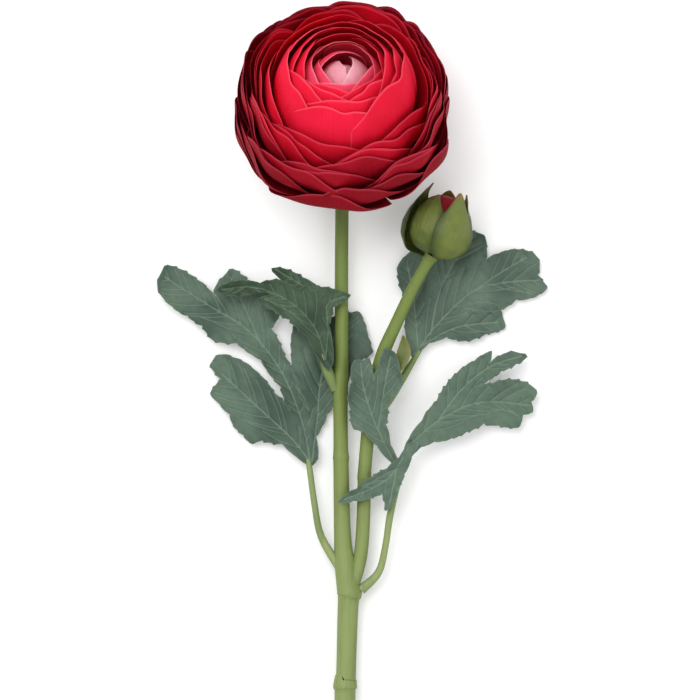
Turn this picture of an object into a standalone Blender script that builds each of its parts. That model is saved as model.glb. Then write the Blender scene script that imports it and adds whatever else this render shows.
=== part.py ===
"""Persian buttercup: one cut stem that lies on a flat surface, with an open flower, a side bud and four leaves.

The stem lies along +Y with its cut end at -Y, +X is to the right and +Z is up. The origin is on the
surface, under the middle of the plant. Lengths are in millimetres here and become metres in the meshes.
"""

import math

import bpy
from mathutils import Vector
from mathutils.geometry import delaunay_2d_cdt

MM = 0.001
GAP = 0.3  # between two pieces that touch

# The flower head: its foot on the stem, its tilt, and how its petals are set round the receptacle.
HEAD_FOOT = Vector((-3.4, 90.0, 12.7))
HEAD_TILT = 55.0  # degrees above the surface that the flower faces
PETAL_COUNT = 40
GOLDEN_ANGLE = 137.508
FIRST_AZIMUTH = -62.0
PETAL_THICKNESS = 0.4
RECEPTACLE_RADIUS = 5.2
RECEPTACLE_HEIGHT = 12.5

# How a petal's measures go from the innermost petal, at 0, to the outermost, at 1.
FOOT_HEIGHT = ((0.0, 11.0), (1.0, 0.7))
BELLY_RADIUS = ((0.0, 5.0), (0.1, 13.5), (0.25, 21.5), (0.5, 31.5), (0.75, 39.0), (1.0, 44.6))
BELLY_HEIGHT = ((0.0, 38.0), (0.3, 36.0), (0.6, 31.5), (1.0, 24.0))
TIP_HEIGHT = ((0.0, 55.0), (0.25, 57.0), (0.5, 51.0), (0.75, 45.0), (1.0, 37.5))
TIP_ANGLE = ((0.0, 160.0), (0.25, 137.0), (0.5, 121.0), (1.0, 104.0))
HALF_WIDTH = ((0.0, 72.0), (0.25, 54.0), (0.5, 45.0), (1.0, 35.0))
CLAW_HALF_WIDTH = 24.0

# The sepals under the flower.
SEPAL_COUNT = 5
SEPAL_LAYER = 1.07
SEPAL_FIRST_AZIMUTH = -84.0
SEPAL_THICKNESS = 0.6

# The bud, with its five sepals round the closed petals.
BUD_FOOT = Vector((32.6, 47.6, 15.6))
BUD_AXIS = Vector((0.24, 0.95, 0.2)).normalized()
BUD_SEPALS = (
    # azimuth, radial step, tip height, tip radius
    (-128.0, 0.0, 24.5, 5.5),
    (-56.0, 1.3, 27.5, 6.5),
    (16.0, 0.0, 26.0, 7.5),
    (88.0, 1.3, 25.0, 6.0),
    (160.0, 2.6, 27.5, 4.5),
)
BUD_SEPAL_HALF_WIDTH = 43.0
BUD_SEPAL_THICKNESS = 0.5
BUD_PETALS_RADIUS = 10.2
BUD_PETALS_HEIGHT = 21.5

LEAF_THICKNESS = 0.8
LEAF_GRID = 7.0  # spacing of the points inside a leaf blade

# Stems and stalks: each point is (x, y, z, radius), from the foot to the end.
STEM_ROUTE = (
    (-2.8, -146.0, 4.7, 4.3),
    (-2.8, -129.0, 4.8, 4.3),
    (-2.8, -127.0, 4.9, 4.7),
    (-2.6, -123.5, 4.9, 4.6),
    (-2.4, -121.0, 5.0, 4.1),
    (-1.8, -100.0, 5.2, 4.1),
    (-1.4, -91.5, 5.5, 4.3),
    (-1.0, -89.0, 5.7, 5.2),
    (-1.6, -86.0, 5.8, 4.7),
    (-2.6, -78.0, 5.8, 4.4),
    (-3.7, -68.0, 5.9, 3.5),
    (-4.2, -50.0, 6.1, 3.2),
    (-4.6, -20.0, 6.4, 3.0),
    (-4.5, -5.0, 6.6, 3.2),
    (-4.2, 6.0, 6.8, 2.8),
    (-4.2, 40.0, 7.2, 2.8),
    (-4.0, 66.0, 7.4, 2.8),
    (-3.8, 76.0, 7.6, 2.9),
    (-3.6, 84.0, 9.4, 3.3),
)
BUD_STEM_ROUTE = (
    (0.2, -88.0, 6.2, 2.6),
    (3.4, -74.0, 6.6, 2.8),
    (4.6, -58.0, 7.0, 2.8),
    (5.2, -36.0, 7.6, 2.9),
    (7.6, -14.0, 8.2, 3.1),
    (11.6, 5.0, 8.8, 2.8),
    (18.0, 20.0, 10.6, 2.6),
    (24.6, 34.0, 13.0, 2.5),
    (31.8, 46.4, 15.3, 3.0),
)
SIDE_BUD_ROUTE = (
    (12.4, -3.5, 9.4, 1.3),
    (16.8, -0.5, 10.0, 1.5),
    (19.4, 3.5, 10.6, 2.6),
    (20.8, 8.0, 11.0, 2.8),
    (20.8, 11.8, 11.0, 1.7),
    (20.4, 14.8, 11.0, 0.4),
)

# Leaves: the outline of each blade is (x, y), and the heights are (x, y, z) points that the blade goes by.
LEFT_STALK = (
    (-5.8, -79.0, 5.6, 2.2),
    (-12.4, -66.0, 5.6, 1.4),
    (-15.2, -52.0, 5.4, 1.3),
    (-17.2, -37.0, 4.8, 1.2),
    (-20.0, -27.0, 4.2, 1.1),
    (-24.0, -19.0, 3.8, 0.9),
)
LEFT_BLADE = (
    (-16.2, -38.0), (-22.4, -34.0), (-28.0, -29.0), (-36.0, -27.5), (-41.0, -26.5), (-48.0, -21.0),
    (-57.0, -8.5), (-52.6, -3.0), (-57.0, 4.0), (-48.0, 5.0), (-40.0, 0.5), (-31.0, -8.5),
    (-25.0, -15.5), (-28.5, -6.0), (-36.5, 5.0), (-46.0, 10.5), (-55.5, 12.5), (-60.0, 18.5),
    (-70.0, 24.5), (-76.0, 29.0), (-77.6, 37.0), (-74.0, 42.0), (-62.0, 35.0), (-52.0, 24.5),
    (-55.5, 33.0), (-51.0, 40.0), (-42.0, 37.0), (-33.0, 31.0), (-29.5, 22.5), (-32.5, 17.5),
    (-27.0, 6.0), (-21.0, -8.0), (-17.6, -15.5), (-22.0, -5.0), (-24.3, 8.0), (-23.0, 20.0),
    (-8.0, 22.0), (3.0, 23.0), (6.4, 14.0), (8.2, 7.5), (1.5, 4.0), (-5.0, -8.0),
    (-10.0, -17.0), (-14.5, -26.0), (-13.6, -35.0),
)
LEFT_HEIGHTS = (
    (-16.0, -37.0, 4.6), (-36.0, -18.0, 2.2), (-56.0, 0.0, 1.0), (-27.0, -8.0, 4.2), (-45.0, 20.0, 5.0),
    (-76.0, 34.0, 5.6), (-52.0, 38.0, 3.6), (-20.0, 0.0, 2.6), (-4.2, 10.0, 1.4), (7.0, 12.0, 1.6),
)
UPPER_STALK = (
    (-7.4, -6.0, 7.2, 1.9),
    (-10.4, 2.0, 9.2, 1.9),
    (-14.0, 9.5, 11.0, 1.5),
    (-18.4, 18.0, 12.6, 1.1),
    (-22.0, 26.0, 13.6, 0.9),
)
UPPER_BLADE = (
    (-14.0, 6.5), (-19.0, 15.5), (-29.0, 23.0), (-38.0, 28.0), (-29.5, 31.5), (-38.0, 32.5),
    (-46.5, 29.8), (-54.4, 32.3), (-47.0, 36.5), (-37.0, 35.0), (-29.5, 36.3), (-22.0, 32.3),
    (-12.5, 33.0), (-0.5, 30.0), (-7.5, 26.0), (-9.2, 19.0), (-7.6, 11.0), (-7.4, 5.0),
)
UPPER_HEIGHTS = (
    (-14.0, 7.0, 11.0), (-7.4, 8.0, 12.0), (-20.0, 28.0, 14.0), (-38.0, 28.0, 12.0),
    (-54.0, 32.0, 10.5), (-1.0, 30.0, 13.6),
)
UPPER_CURL = ((-16.0, 27.5), (-24.0, 33.5), (-32.0, 41.0), (-27.0, 41.2), (-14.0, 33.8), (-11.0, 30.0))
UPPER_CURL_HEIGHTS = ((-15.0, 28.0, 14.0), (-31.0, 41.0, 10.0))
RIGHT_STALK = (
    (9.6, -18.0, 8.0, 1.9),
    (15.0, -11.0, 7.0, 1.7),
    (20.0, -3.0, 5.8, 1.6),
    (24.6, 4.5, 4.6, 1.3),
    (30.0, 13.0, 3.6, 0.9),
)
RIGHT_BLADE = (
    (24.4, 5.0), (21.6, 15.0), (22.4, 28.0), (19.0, 43.5), (26.0, 48.0), (42.0, 55.5),
    (52.5, 55.0), (53.8, 45.0), (66.0, 48.3), (73.5, 46.5), (78.2, 33.0), (70.0, 28.0),
    (58.0, 26.0), (44.0, 26.0), (60.0, 22.5), (61.5, 16.5), (46.0, 12.5), (34.0, 12.0), (27.0, 8.0),
)
RIGHT_HEIGHTS = (
    (25.0, 6.0, 4.4), (22.0, 40.0, 1.2), (34.0, 40.0, 1.6), (48.0, 52.0, 2.4), (46.0, 26.0, 3.4),
    (77.0, 36.0, 0.9), (60.0, 18.0, 1.0),
)
LOWER_STALK = (
    (4.0, -87.0, 5.6, 2.3),
    (10.6, -80.5, 6.0, 1.5),
    (13.4, -70.0, 6.8, 1.3),
    (15.2, -58.0, 8.0, 1.4),
    (18.6, -43.0, 9.8, 1.5),
    (24.0, -31.0, 10.4, 1.2),
    (31.0, -21.0, 10.0, 0.9),
)
LOWER_BLADE = (
    (22.8, -26.5), (34.0, -11.5), (41.5, -1.0), (56.0, 7.6), (55.4, 3.6), (66.5, 7.0),
    (70.0, 4.2), (60.0, -0.5), (48.6, -7.0), (64.0, -4.0), (74.0, -8.6), (72.4, -17.0),
    (66.6, -23.0), (54.0, -21.8), (42.6, -26.8), (27.6, -30.2), (24.4, -30.0),
)
LOWER_HEIGHTS = (
    (23.5, -29.0, 10.4), (40.0, -12.0, 8.6), (56.0, 6.0, 8.0), (74.0, -10.0, 4.0), (66.0, -22.0, 3.0),
    (42.0, -25.0, 7.0),
)
FOLDED_LOBE = (
    (21.0, -29.0), (19.6, -33.0), (14.0, -38.6), (8.4, -41.8), (-1.2, -50.4), (-4.6, -54.0),
    (3.6, -51.0), (12.0, -48.6), (13.6, -55.6), (16.4, -53.0), (20.0, -42.0), (24.0, -33.0),
)
FOLDED_HEIGHTS = ((22.0, -32.0, 10.6), (16.0, -44.0, 11.2), (4.0, -46.0, 12.6), (-4.0, -53.0, 11.8))
MIDDLE_LOBE = (
    (15.6, -36.0), (5.4, -24.4), (0.0, -21.6), (-0.6, -9.0), (1.0, 4.4), (7.0, 4.6),
    (8.4, -3.6), (13.4, 9.2), (17.6, 6.0), (20.0, -5.4), (14.2, -13.0), (13.6, -21.0), (17.6, -35.0),
)
MIDDLE_HEIGHTS = (
    (16.6, -35.0, 10.2), (12.0, -22.0, 13.2), (2.0, -10.0, 13.4), (6.0, -16.0, 14.0), (16.0, 4.0, 14.6),
)


def blend(keys, t):
    """The value at t of (position, value) pairs, going smoothly from each to the next."""
    keys = list(keys)
    if t <= keys[0][0]:
        return keys[0][1]
    for (t0, v0), (t1, v1) in zip(keys, keys[1:]):
        if t <= t1:
            return v0 + (v1 - v0) * (t - t0) / (t1 - t0)
    (t0, v0), (t1, v1) = keys[-2:]
    return v1 + (v1 - v0) * (t - t1) / (t1 - t0)


def material(name, colour, roughness):
    """A plain material of that colour."""
    made = bpy.data.materials.new(name)
    made.use_nodes = True
    shader = made.node_tree.nodes["Principled BSDF"]
    shader.inputs["Base Color"].default_value = (*colour, 1.0)
    shader.inputs["Roughness"].default_value = roughness
    shader.inputs["Metallic"].default_value = 0.0
    made.diffuse_color = (*colour, 1.0)
    return made


def add_object(name, points, faces, finish):
    """A mesh object from points in millimetres."""
    mesh = bpy.data.meshes.new(name)
    mesh.from_pydata([Vector(p) * MM for p in points], [], faces)
    mesh.materials.append(finish)
    mesh.shade_smooth()
    mesh.update()
    made = bpy.data.objects.new(name, mesh)
    bpy.context.scene.collection.objects.link(made)
    return made


def thicken(obj, thickness):
    """Gives a sheet its thickness, half of it to each side."""
    solid = obj.modifiers.new("thickness", "SOLIDIFY")
    solid.thickness = thickness * MM
    solid.offset = 0.0
    return obj


def boolean(obj, other, operation):
    """Joins the other solid to this one, or cuts it away, and keeps the other as a helper."""
    step = obj.modifiers.new(operation.lower(), "BOOLEAN")
    step.operation = operation
    step.object = other
    other.hide_render = True
    other.display_type = "WIRE"
    return obj


# ---------------------------------------------------------------- stems and stalks


def smooth_route(route, steps):
    """Points of a smooth curve through the route, as (position, radius)."""
    ends = [route[0], *route, route[-1]]
    found = []
    for i in range(1, len(ends) - 2):
        a, b, c, d = ends[i - 1 : i + 3]
        for k in range(steps):
            s = k / steps
            weights = (
                0.5 * (-s + 2 * s**2 - s**3),
                0.5 * (2 - 5 * s**2 + 3 * s**3),
                0.5 * (s + 4 * s**2 - 3 * s**3),
                0.5 * (-(s**2) + s**3),
            )
            found.append([sum(w * p[j] for w, p in zip(weights, (a, b, c, d))) for j in range(4)])
    found.append(list(route[-1]))
    return [(Vector(p[:3]), p[3]) for p in found]


def tube(name, centres, sides, finish, grow=0.0):
    """A closed tube along (position, radius) pairs, with the radii made larger by grow."""
    points, faces = [], []
    side = Vector((0, 0, 1))
    for i, (centre, radius) in enumerate(centres):
        before = centres[max(i - 1, 0)][0]
        after = centres[min(i + 1, len(centres) - 1)][0]
        along = (after - before).normalized()
        side = (side - along * side.dot(along)).normalized()
        other = along.cross(side)
        for k in range(sides):
            turn = 2 * math.pi * k / sides
            out = side * math.cos(turn) + other * math.sin(turn)
            points.append(centre + out * (radius + grow))
    for i in range(len(centres) - 1):
        for k in range(sides):
            a, b = i * sides + k, i * sides + (k + 1) % sides
            faces.append((a, b, b + sides, a + sides))
    faces.append(tuple(reversed(range(sides))))
    faces.append(tuple(range(len(points) - sides, len(points))))
    return add_object(name, points, faces, finish)


def receptacle_radius(height):
    """The radius of the domed receptacle at a height over its foot."""
    share = min(max(height / RECEPTACLE_HEIGHT, 0.0), 0.995)
    return RECEPTACLE_RADIUS * math.sqrt(1 - share**2)


def main_stem_centres():
    """The main stem's centres and radii, ending in the receptacle that carries the petals."""
    centres = smooth_route(STEM_ROUTE, 2)
    heights = (0.0, 1.5, 4.0, 7.0, 9.5, 11.2, 12.2)
    dome = [(on_head(0.0, 0.0, h), receptacle_radius(h)) for h in heights]
    return centres + dome


# ---------------------------------------------------------------- flower head


def on_head(azimuth, radius, height):
    """The place of a point of the flower head, given round its tilted axis."""
    tilt, turn = math.radians(HEAD_TILT), math.radians(azimuth)
    up = Vector((0, math.cos(tilt), math.sin(tilt)))
    right = Vector((1, 0, 0))
    back = up.cross(right)
    return HEAD_FOOT + right * radius * math.cos(turn) + back * radius * math.sin(turn) + up * height


def meridian(layer, along):
    """The (radius, height) of a petal's middle line at a share of its length, for a layer from 0 to 1."""
    foot_height = blend(FOOT_HEIGHT, layer)
    foot_radius = receptacle_radius(foot_height) + GAP + PETAL_THICKNESS / 2
    belly, middle = blend(BELLY_RADIUS, layer), blend(BELLY_HEIGHT, layer)
    foot_angle = math.asin(min(foot_radius / belly, 1.0))
    tip_angle = math.radians(blend(TIP_ANGLE, layer))
    angle = foot_angle + along * (tip_angle - foot_angle)
    if angle < math.pi / 2:
        reach = (middle - foot_height) / math.cos(foot_angle)
    else:
        reach = (blend(TIP_HEIGHT, layer) - middle) / -math.cos(tip_angle)
    return belly * math.sin(angle), middle - reach * math.cos(angle)


def petal_sheet(name, layer, azimuth, half_width, length, columns, rows, finish):
    """A petal as a sheet: a narrow claw that widens to a broad blade with a round tip."""
    points, faces = [], []
    for j in range(rows + 1):
        for i in range(columns + 1):
            across, along = 2 * i / columns - 1, j / rows
            spread = min(along / 0.6, 1.0)
            spread = spread * spread * (3 - 2 * spread)
            width = CLAW_HALF_WIDTH + (half_width - CLAW_HALF_WIDTH) * spread
            rounded = along * length * (1 - 0.2 * abs(across) ** 2.6 * along)
            radius, height = meridian(layer, rounded)
            points.append(on_head(azimuth + across * width, radius, height))
    for j in range(rows):
        for i in range(columns):
            a = j * (columns + 1) + i
            faces.append((a, a + 1, a + columns + 2, a + columns + 1))
    return add_object(name, points, faces, finish)


def make_petals(inner, outer):
    """The petals, from the heart outwards, each turned by the golden angle from the one before."""
    for k in range(PETAL_COUNT):
        layer = k / (PETAL_COUNT - 1)
        azimuth = FIRST_AZIMUTH + k * GOLDEN_ANGLE
        finish = inner if layer < 0.12 else outer
        sheet = petal_sheet(
            f"petal_{k + 1:02d}", layer, azimuth, blend(HALF_WIDTH, layer), 1.0, 6, 6, finish
        )
        thicken(sheet, PETAL_THICKNESS)


def make_sepals(finish):
    """The five sepals that lie under the outermost petals."""
    for k in range(SEPAL_COUNT):
        azimuth = SEPAL_FIRST_AZIMUTH + k * 360 / SEPAL_COUNT
        sheet = petal_sheet(f"sepal_{k + 1}", SEPAL_LAYER, azimuth, 17.0, 0.42, 4, 5, finish)
        thicken(sheet, SEPAL_THICKNESS)


# ---------------------------------------------------------------- bud


def on_bud(azimuth, radius, height):
    """The place of a point of the bud, given round its own axis."""
    turn = math.radians(azimuth)
    right = BUD_AXIS.cross(Vector((0, 0, 1))).normalized()
    front = right.cross(BUD_AXIS)
    out = right * math.cos(turn) - front * math.sin(turn)
    return BUD_FOOT + out * radius + BUD_AXIS * height


def bud_sepal_line(along, step, tip_height, tip_radius):
    """The (radius, height) of a bud sepal's middle line: out at the foot, round the belly, in to the tip."""
    radius = blend(
        ((0.0, 2.6), (0.16, 8.4), (0.34, 11.8), (0.5, 12.2), (0.68, 11.0), (0.84, 8.6), (1.0, tip_radius)), along
    )
    height = blend(
        ((0.0, 0.6), (0.16, 2.0), (0.34, 6.4), (0.5, 11.0), (0.68, 16.2), (0.84, 20.6), (1.0, tip_height)), along
    )
    return radius + step, height - step * (1 - along)


def make_bud_sepals(finish):
    """The five sepals that still enclose the bud."""
    columns, rows = 6, 8
    for n, (azimuth, step, tip_height, tip_radius) in enumerate(BUD_SEPALS):
        points, faces = [], []
        for j in range(rows + 1):
            for i in range(columns + 1):
                across, along = 2 * i / columns - 1, j / rows
                width = BUD_SEPAL_HALF_WIDTH * blend(((0.0, 0.62), (0.3, 1.0), (0.6, 1.0), (1.0, 0.42)), along)
                lowered = along * (1 - 0.12 * across**2 * along)
                radius, height = bud_sepal_line(lowered, step, tip_height, tip_radius)
                points.append(on_bud(azimuth + across * width, radius, height))
        for j in range(rows):
            for i in range(columns):
                a = j * (columns + 1) + i
                faces.append((a, a + 1, a + columns + 2, a + columns + 1))
        thicken(add_object(f"bud_sepal_{n + 1}", points, faces, finish), BUD_SEPAL_THICKNESS)


def make_bud_petals(finish):
    """The closed petals inside the bud."""
    rings = 9
    centres = []
    for i in range(rings + 1):
        angle = math.pi * (0.05 + 0.9 * i / rings)
        height = 1.6 + BUD_PETALS_HEIGHT * (1 - math.cos(angle)) / 2
        centres.append((on_bud(0.0, 0.0, height), BUD_PETALS_RADIUS * math.sin(angle) ** 0.8))
    return tube("bud_petals", centres, 14, finish)


# ---------------------------------------------------------------- leaves


def height_at(x, y, heights):
    """The height of a blade at (x, y): each given point counts by how near it is."""
    weighed = [(1 / ((x - px) ** 2 + (y - py) ** 2 + 4.0) ** 1.5, pz) for px, py, pz in heights]
    return sum(w * z for w, z in weighed) / sum(w for w, _ in weighed)


def blade(name, outline, heights, finish):
    """A leaf blade: its outline filled with an even spread of points, set at its heights, then thickened."""
    edges = [(i, (i + 1) % len(outline)) for i in range(len(outline))]
    xs, ys = [p[0] for p in outline], [p[1] for p in outline]
    inside = []
    x = min(xs) + LEAF_GRID / 2
    while x < max(xs):
        y = min(ys) + LEAF_GRID / 2
        while y < max(ys):
            clear = min(math.hypot(x - px, y - py) for px, py in outline) > LEAF_GRID / 3
            if clear:
                inside.append((x, y))
            y += LEAF_GRID
        x += LEAF_GRID
    flat = [Vector(p) for p in (*outline, *inside)]
    points, _, faces = delaunay_2d_cdt(flat, edges, [], 1, 1e-4)[:3]
    placed = [(p.x, p.y, height_at(p.x, p.y, heights)) for p in points]
    used = sorted({i for face in faces for i in face})
    index = {old: new for new, old in enumerate(used)}
    sheet = add_object(
        name, [placed[i] for i in used], [tuple(index[i] for i in face) for face in faces], finish
    )
    return thicken(sheet, LEAF_THICKNESS)


def leaf(name, stalk, blades, finish, stems):
    """A leaf of one piece: its stalk, joined to its blades, and cut back where it meets the stems."""
    whole = tube(name, smooth_route(stalk, 2), 8, finish)
    for n, (outline, heights) in enumerate(blades):
        boolean(whole, blade(f"{name}_blade_{n + 1}", outline, heights, finish), "UNION")
    for cutter in stems:
        boolean(whole, cutter, "DIFFERENCE")
    return whole


# ---------------------------------------------------------------- the plant


def build():
    """Makes every piece of the plant."""
    for obj in list(bpy.data.objects):
        bpy.data.objects.remove(obj)
    stem_green = material("stem_green", (0.27, 0.33, 0.10), 0.55)
    leaf_green = material("leaf_green", (0.13, 0.20, 0.13), 0.6)
    bud_green = material("bud_green", (0.15, 0.19, 0.03), 0.45)
    heart_pink = material("heart_pink", (0.80, 0.30, 0.38), 0.6)
    petal_red = material("petal_red", (0.55, 0.01, 0.03), 0.6)

    stem_line = main_stem_centres()
    bud_line = smooth_route(BUD_STEM_ROUTE, 2)
    tube("main_stem", stem_line, 12, stem_green)
    stem_cutter = tube("main_stem_cutter", stem_line, 12, stem_green, GAP)
    bud_stem_cutter = tube("bud_stem_cutter", bud_line, 12, stem_green, GAP)
    boolean(tube("bud_stem", bud_line, 12, stem_green), stem_cutter, "DIFFERENCE")

    make_petals(heart_pink, petal_red)
    make_sepals(bud_green)
    make_bud_petals(petal_red)
    make_bud_sepals(bud_green)

    stems = (stem_cutter, bud_stem_cutter)
    leaf("leaf_left", LEFT_STALK, ((LEFT_BLADE, LEFT_HEIGHTS),), leaf_green, stems)
    upper = ((UPPER_BLADE, UPPER_HEIGHTS), (UPPER_CURL, UPPER_CURL_HEIGHTS))
    leaf("leaf_upper", UPPER_STALK, upper, leaf_green, stems)
    leaf("leaf_right", RIGHT_STALK, ((RIGHT_BLADE, RIGHT_HEIGHTS),), leaf_green, stems)
    lower = ((LOWER_BLADE, LOWER_HEIGHTS), (FOLDED_LOBE, FOLDED_HEIGHTS), (MIDDLE_LOBE, MIDDLE_HEIGHTS))
    leaf("leaf_lower", LOWER_STALK, lower, leaf_green, stems)
    side_bud = tube("side_bud", smooth_route(SIDE_BUD_ROUTE, 2), 8, bud_green)
    boolean(side_bud, bud_stem_cutter, "DIFFERENCE")


build()
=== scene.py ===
"""A cut persian buttercup lying on a pale floor, with the finished look of all its pieces.

Lengths are written in millimetres and turned into metres where a mesh is made. The plant lies along +Y,
+X is to the bud's side and +Z is up.
"""

from __future__ import annotations

import logging
import math
import random
from collections.abc import Callable, Iterable, Sequence
from dataclasses import dataclass, field
from enum import Enum
from functools import cache

import bpy
import numpy as np
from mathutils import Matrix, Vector
from mathutils.geometry import delaunay_2d_cdt


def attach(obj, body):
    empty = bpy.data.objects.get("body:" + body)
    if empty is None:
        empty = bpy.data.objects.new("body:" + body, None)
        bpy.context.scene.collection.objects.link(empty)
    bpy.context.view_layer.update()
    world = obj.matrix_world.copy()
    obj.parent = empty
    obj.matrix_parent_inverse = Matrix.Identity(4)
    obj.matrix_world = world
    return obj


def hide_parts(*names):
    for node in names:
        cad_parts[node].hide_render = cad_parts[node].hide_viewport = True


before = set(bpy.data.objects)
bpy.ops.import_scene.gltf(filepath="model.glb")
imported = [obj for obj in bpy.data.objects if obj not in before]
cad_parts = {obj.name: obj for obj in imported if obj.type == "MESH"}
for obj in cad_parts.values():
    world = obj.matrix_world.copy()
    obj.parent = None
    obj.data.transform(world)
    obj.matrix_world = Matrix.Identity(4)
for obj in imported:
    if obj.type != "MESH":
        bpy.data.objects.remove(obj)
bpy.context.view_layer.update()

LOG = logging.getLogger("buttercup")
MM = 0.001
BODY = "root"

Colour = tuple[float, float, float]
Point2 = tuple[float, float]
Route = Sequence[tuple[float, float, float, float]]
Keys = Sequence[tuple[float, float]]


class Slot(Enum):
    """The record's material slots."""

    STEM = "stem_green"
    LEAF = "leaf_green"
    BUD = "bud_green"
    HEART = "heart_pink"
    PETAL = "petal_red"


# ------------------------------------------------------------------ small maths


def blend(keys: Keys, t: float) -> float:
    """Reads a value that goes straight from key to key.

    Args:
        keys: (position, value) pairs in rising order.
        t: The position to read at.

    Returns:
        The value there, held past both ends.
    """
    return float(np.interp(t, [k[0] for k in keys], [k[1] for k in keys]))


def ease(low: float, high: float, x: float) -> float:
    """Goes smoothly from 0 at low to 1 at high.

    Args:
        low: Where the rise starts.
        high: Where it ends.
        x: The position to read at.

    Returns:
        A share from 0 to 1.
    """
    s = min(max((x - low) / (high - low), 0.0), 1.0)
    return s * s * (3 - 2 * s)


def smooth_route(route: Route, steps: int) -> list[tuple[Vector, float]]:
    """Runs a smooth curve through a stem's own points.

    Args:
        route: (x, y, z, radius) points in millimetres.
        steps: Curve points for each stretch of the route.

    Returns:
        (position, radius) pairs along the curve.
    """
    ends = [route[0], *route, route[-1]]
    found = []
    for i in range(1, len(ends) - 2):
        a, b, c, d = ends[i - 1 : i + 3]
        for k in range(steps):
            s = k / steps
            weights = (
                0.5 * (-s + 2 * s**2 - s**3),
                0.5 * (2 - 5 * s**2 + 3 * s**3),
                0.5 * (s + 4 * s**2 - 3 * s**3),
                0.5 * (-(s**2) + s**3),
            )
            found.append([sum(w * p[j] for w, p in zip(weights, (a, b, c, d))) for j in range(4)])
    found.append(list(route[-1]))
    return [(Vector(p[:3]), p[3]) for p in found]


# ------------------------------------------------------------------ shader graph


class Value:
    """A shader socket that can be used in Python sums."""

    def __init__(self, graph: Graph, socket: bpy.types.NodeSocket) -> None:
        """Keeps the socket and the graph that it belongs to."""
        self.graph = graph
        self.socket = socket

    def _maths(self, operation: str, first: Input, second: Input) -> Value:
        """Adds one Math node.

        Args:
            operation: The node's operation.
            first: Its first value.
            second: Its second value.

        Returns:
            The node's result.
        """
        return self.graph.add("ShaderNodeMath", {"operation": operation}, {0: first, 1: second})

    def __add__(self, other: Input) -> Value:
        """Adds."""
        return self._maths("ADD", self, other)

    def __sub__(self, other: Input) -> Value:
        """Takes away."""
        return self._maths("SUBTRACT", self, other)

    def __rsub__(self, other: Input) -> Value:
        """Takes this away from the other."""
        return self._maths("SUBTRACT", other, self)

    def __mul__(self, other: Input) -> Value:
        """Multiplies."""
        return self._maths("MULTIPLY", self, other)

    def __abs__(self) -> Value:
        """Drops the sign."""
        return self._maths("ABSOLUTE", self, 0.0)

    def at_most(self, other: Input) -> Value:
        """Returns the smaller of the two."""
        return self._maths("MINIMUM", self, other)

    def at_least(self, other: Input) -> Value:
        """Returns the larger of the two."""
        return self._maths("MAXIMUM", self, other)

    def from_to(self, low: float, high: float) -> Value:
        """Goes from 0 where this is low to 1 where it is high, smoothly.

        Args:
            low: Where the rise starts.
            high: Where it ends.

        Returns:
            A share from 0 to 1.
        """
        return self.graph.add(
            "ShaderNodeMapRange",
            {"interpolation_type": "SMOOTHSTEP"},
            {"Value": self, "From Min": low, "From Max": high},
        )


Input = "Value | float | tuple[float, ...]"


class Graph:
    """One material's node tree, with its Principled shader."""

    def __init__(self, name: str) -> None:
        """Makes a new material of that name."""
        self.material = bpy.data.materials.new(name)
        self.material.use_nodes = True
        self.tree = self.material.node_tree
        self.shader = self.tree.nodes["Principled BSDF"]

    def add(self, kind: str, settings: dict, inputs: dict, output: int | str = 0) -> Value:
        """Adds any node.

        Args:
            kind: The node's type.
            settings: Its settings, set first.
            inputs: Its sockets by name or number, each with a value or a link.
            output: The output to return.

        Returns:
            That output.
        """
        node = self.tree.nodes.new(kind)
        for key, setting in settings.items():
            setattr(node, key, setting)
        self.feed(node, inputs)
        return Value(self, node.outputs[output])

    def feed(self, node: bpy.types.Node, inputs: dict) -> None:
        """Sets or links a node's inputs, by name or number."""
        for key, given in inputs.items():
            if isinstance(given, Value):
                self.tree.links.new(given.socket, node.inputs[key])
            elif isinstance(given, tuple) and len(given) == 3 and node.inputs[key].type == "RGBA":
                node.inputs[key].default_value = (*given, 1.0)
            else:
                node.inputs[key].default_value = given

    def mix(self, factor: Input, first: Input, second: Input) -> Value:
        """Mixes two colours.

        Args:
            factor: The share of the second.
            first: A colour.
            second: Another colour.

        Returns:
            The mixed colour.
        """
        return self.add("ShaderNodeMix", {"data_type": "RGBA"}, {0: factor, 6: first, 7: second}, 2)

    def noise(self, where: Value, scale: float, detail: float = 2.0) -> Value:
        """A noise of about that many bumps to the unit, from 0 to 1."""
        return self.add(
            "ShaderNodeTexNoise", {}, {"Vector": where, "Scale": scale, "Detail": detail}, 0
        )

    def place(self, coordinate: str, stretch: tuple[float, float, float] = (1.0, 1.0, 1.0)) -> Value:
        """Coordinates of the piece, stretched.

        Args:
            coordinate: "Object" or "UV".
            stretch: A scale for each axis.

        Returns:
            The stretched coordinates.
        """
        found = self.add("ShaderNodeTexCoord", {}, {}, coordinate)
        return self.add("ShaderNodeMapping", {}, {"Vector": found, "Scale": stretch})

    def split(self, vector: Value) -> tuple[Value, Value, Value]:
        """The three parts of a vector."""
        node = self.tree.nodes.new("ShaderNodeSeparateXYZ")
        self.tree.links.new(vector.socket, node.inputs[0])
        x, y, z = (Value(self, out) for out in node.outputs)
        return x, y, z

    def finish(self, colour: Value, roughness: Input, height: Value, relief: float) -> bpy.types.Material:
        """Feeds the shader.

        Args:
            colour: The base colour.
            roughness: The roughness.
            height: The relief's height, from 0 to 1.
            relief: The relief's depth in millimetres.

        Returns:
            The material.
        """
        bump = self.add("ShaderNodeBump", {}, {"Height": height, "Strength": 1.0, "Distance": relief * MM})
        self.feed(self.shader, {"Base Color": colour, "Roughness": roughness, "Normal": bump})
        return self.material


# ------------------------------------------------------------------ finishes


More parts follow.
